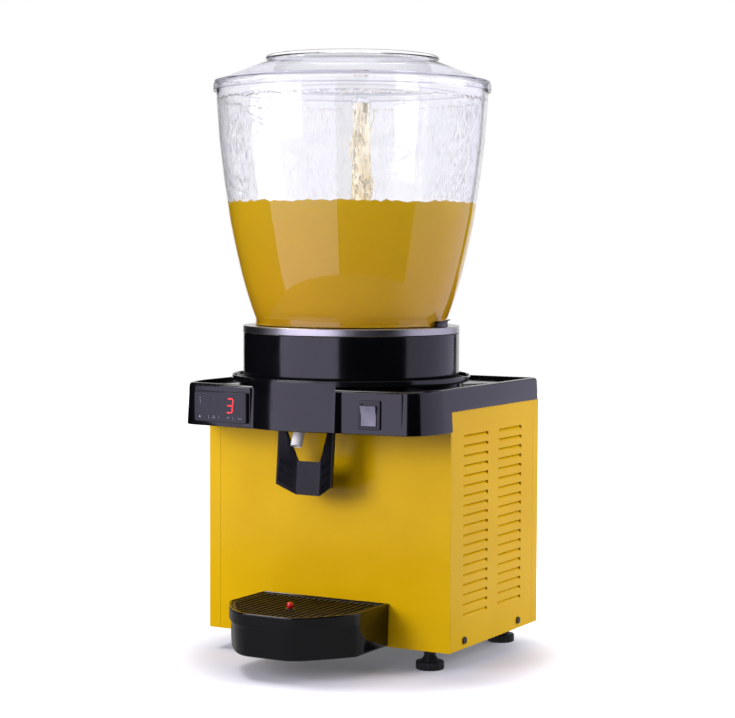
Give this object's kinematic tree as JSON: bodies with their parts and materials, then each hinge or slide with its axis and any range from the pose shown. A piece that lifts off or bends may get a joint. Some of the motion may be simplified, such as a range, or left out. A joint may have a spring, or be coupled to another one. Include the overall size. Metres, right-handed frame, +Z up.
{
  "type": "cold drink dispenser",
  "caption": "Counter-top refrigerated drink dispenser with a clear lift-off bowl and lid on a louvred sheet-metal cabinet, a push tap, fountain pump and slide-out drip tray.",
  "frame": {"origin": "on the ground, midway between the two sides and midway between the front of the drip tray and the cap of the cable gland at the back", "axes": "+Z up, -Y out of the front where the tap is, +X to the right of someone facing the front"},
  "size_m": [0.3238, 0.376, 0.7064],
  "materials": {
    "zinc_sheet": "zinc-plated sheet",
    "yellow_paint": "glossy yellow coated sheet",
    "black_gloss": "glossy black moulding",
    "black_matt": "satin black moulding",
    "black_paint": "black stove enamel",
    "steel": "polished stainless steel",
    "copper": "drawn copper tube",
    "aluminium": "bare aluminium",
    "foam": "rigid polyurethane foam",
    "clear_plastic": "clear polycarbonate",
    "smoked_lens": "smoked glossy window",
    "silicone": "translucent white silicone",
    "grey_rubber": "moulded grey rubber",
    "black_rubber": "moulded black rubber",
    "red_plastic": "glossy red moulding",
    "grey_plastic": "translucent grey rocker"
  },
  "bodies": {
    "stand": {"chassis_frame": "zinc_sheet", "deck_plate": "zinc_sheet", "front_panel": "yellow_paint", "left_side_panel": "yellow_paint", "right_side_panel": "yellow_paint", "back_panel": "yellow_paint", "cable_gland": "black_matt", "top_cover": "black_gloss", "drip_gutter": "black_gloss", "bowl_collar": "black_gloss", "insulation_ring": "foam", "steel_deck": "steel", "evaporator_drum": "steel", "evaporator_coil": "copper", "drum_gasket": "grey_rubber", "bowl_clip_right": "black_gloss", "bowl_clip_left": "black_gloss", "thermostat_housing": "black_matt", "thermostat_window": "smoked_lens", "switch_housing": "black_matt", "pump_bracket": "zinc_sheet", "pump_motor": "black_paint", "pump_cover": "clear_plastic", "riser_tube": "clear_plastic", "spray_nozzle": "clear_plastic", "outlet_seal": "grey_rubber", "tap_hose": "silicone", "tap_bracket": "black_matt", "tap_pivot_pin": "steel", "tap_spring": "steel", "tray_bracket": "steel", "compressor": "black_paint", "compressor_mount_left": "black_rubber", "compressor_mount_right": "black_rubber", "condenser": "aluminium", "fan_shroud": "zinc_sheet", "fan_motor": "black_paint", "filter_drier": "copper", "discharge_pipe": "copper", "suction_pipe": "copper", "panel_screw_left_front": "black_paint", "panel_screw_left_rear": "black_paint", "panel_screw_right_front": "black_paint", "panel_screw_right_rear": "black_paint"},
    "magnet": {"drive_magnet": "zinc_sheet"},
    "impeller": {"pump_impeller": "black_matt"},
    "fan": {"fan_blade": "aluminium"},
    "tap": {"tap_lever": "black_gloss"},
    "rocker": {"switch_rocker": "grey_plastic"},
    "bowl": {"bowl": "clear_plastic"},
    "lid": {"lid": "clear_plastic"},
    "tray": {"drip_tray": "black_gloss"},
    "grille": {"drip_grille": "black_matt"},
    "float": {"float_indicator": "red_plastic"},
    "foot_front_left": {"foot_front_left": "black_matt"},
    "foot_front_right": {"foot_front_right": "black_matt"},
    "foot_rear_left": {"foot_rear_left": "black_matt"},
    "foot_rear_right": {"foot_rear_right": "black_matt"}
  },
  "joints": [
    {"name": "magnet_spin", "type": "hinge", "parent": "stand", "child": "magnet", "pos_m": [0, 0.005, 0.457], "axis": [0, 0, 1], "continuous": true},
    {"name": "impeller_spin", "type": "hinge", "parent": "stand", "child": "impeller", "pos_m": [0, 0.005, 0.478], "axis": [0, 0, 1], "continuous": true},
    {"name": "fan_spin", "type": "hinge", "parent": "stand", "child": "fan", "pos_m": [0.1, 0.064, 0.142], "axis": [1, 0, 0], "continuous": true},
    {"name": "tap_push", "type": "hinge", "parent": "stand", "child": "tap", "pos_m": [0, -0.085, 0.296], "axis": [1, 0, 0], "range_deg": [0, 10], "stiffness_Nm_per_rad": 2, "springref_deg": -9.74, "deforming": ["tap_spring"]},
    {"name": "rocker_press", "type": "hinge", "parent": "stand", "child": "rocker", "pos_m": [0.0975, -0.125, 0.2942], "axis": [0.9939, 0.1104, 0], "range_deg": [-18, 0]},
    {"name": "bowl_lift", "type": "slide", "parent": "stand", "child": "bowl", "axis": [0, 0, 1], "range_m": [0, 0.2]},
    {"name": "lid_lift", "type": "slide", "parent": "bowl", "child": "lid", "axis": [0, 0, 1], "range_m": [0, 0.15]},
    {"name": "tray_pull", "type": "slide", "parent": "stand", "child": "tray", "axis": [0, -1, 0], "range_m": [0, 0.14]},
    {"name": "grille_lift", "type": "slide", "parent": "tray", "child": "grille", "axis": [0, 0, 1], "range_m": [0, 0.05]},
    {"name": "float_rise", "type": "slide", "parent": "grille", "child": "float", "axis": [0, 0, 1], "range_m": [0, 0.008]},
    {"name": "foot_front_left_screw", "type": "slide", "parent": "stand", "child": "foot_front_left", "axis": [0, 0, -1], "range_m": [0, 0.012]},
    {"name": "foot_front_right_screw", "type": "slide", "parent": "stand", "child": "foot_front_right", "axis": [0, 0, -1], "range_m": [0, 0.012]},
    {"name": "foot_rear_left_screw", "type": "slide", "parent": "stand", "child": "foot_rear_left", "axis": [0, 0, -1], "range_m": [0, 0.012]},
    {"name": "foot_rear_right_screw", "type": "slide", "parent": "stand", "child": "foot_rear_right", "axis": [0, 0, -1], "range_m": [0, 0.012]}
  ],
  "couplings": [
    {"joint": "impeller_spin", "follows": "magnet_spin", "ratio": 1}
  ]
}
